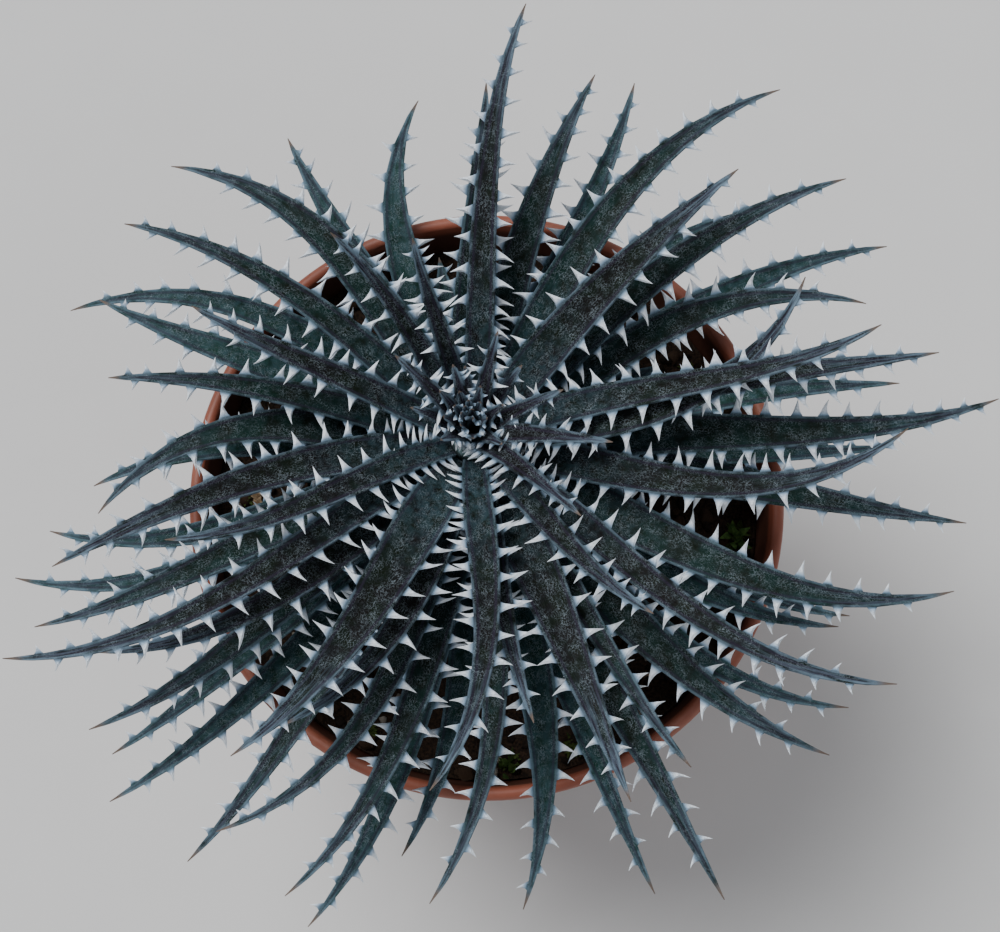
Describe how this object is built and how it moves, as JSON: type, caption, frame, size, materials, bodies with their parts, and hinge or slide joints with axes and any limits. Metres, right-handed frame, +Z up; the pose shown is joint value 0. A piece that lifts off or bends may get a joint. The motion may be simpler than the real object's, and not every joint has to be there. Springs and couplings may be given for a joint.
{
  "type": "dyckia bromeliad in a pot",
  "caption": "Dyckia bromeliad: a dense rosette of stiff, channelled, dark leaves with hooked white teeth, in a plain round plastic pot filled with soil.",
  "frame": {"origin": "middle of the pot's flat underside", "axes": "+Z up; +Y away from the viewer of the picture, towards its top; +X to the picture's right"},
  "size_m": [0.2392, 0.2185, 0.1842],
  "materials": {
    "pot_plastic": "matte terracotta-coloured plastic",
    "soil": "rough dark potting mix",
    "stem": "rough dry bark and old leaf bases",
    "leaf": "dull dark leaf with pale scales",
    "young_leaf": "dull purple-black young leaf"
  },
  "bodies": {
    "root": {"pot": "pot_plastic", "soil": "soil", "stem": "stem", "leaf_07": "leaf", "leaf_08": "leaf", "leaf_09": "leaf", "leaf_10": "leaf", "leaf_11": "leaf", "leaf_12": "leaf", "leaf_13": "leaf", "leaf_14": "leaf", "leaf_15": "leaf", "leaf_16": "leaf", "leaf_17": "leaf", "leaf_18": "leaf", "leaf_19": "leaf", "leaf_20": "leaf", "leaf_21": "leaf", "leaf_22": "leaf", "leaf_23": "leaf", "leaf_24": "leaf", "leaf_25": "leaf", "leaf_26": "leaf", "leaf_27": "leaf", "leaf_28": "leaf", "leaf_29": "leaf", "leaf_30": "leaf", "leaf_31": "leaf", "leaf_32": "leaf", "leaf_33": "leaf", "leaf_34": "leaf", "leaf_35": "leaf", "leaf_36": "leaf", "leaf_37": "leaf", "leaf_38": "leaf", "leaf_39": "leaf", "leaf_40": "leaf", "leaf_41": "leaf", "leaf_42": "leaf", "leaf_43": "leaf", "leaf_44": "leaf", "leaf_45": "leaf", "leaf_46": "leaf", "leaf_47": "leaf", "leaf_48": "leaf", "leaf_49": "leaf", "leaf_50": "leaf", "leaf_51": "leaf", "leaf_52": "leaf", "leaf_53": "leaf", "leaf_54": "leaf", "leaf_55": "leaf", "leaf_56": "leaf", "leaf_57": "leaf", "leaf_58": "leaf", "leaf_59": "leaf", "leaf_60": "leaf", "leaf_61": "leaf", "leaf_62": "leaf", "heart": "young_leaf"}
  },
  "joints": []
}
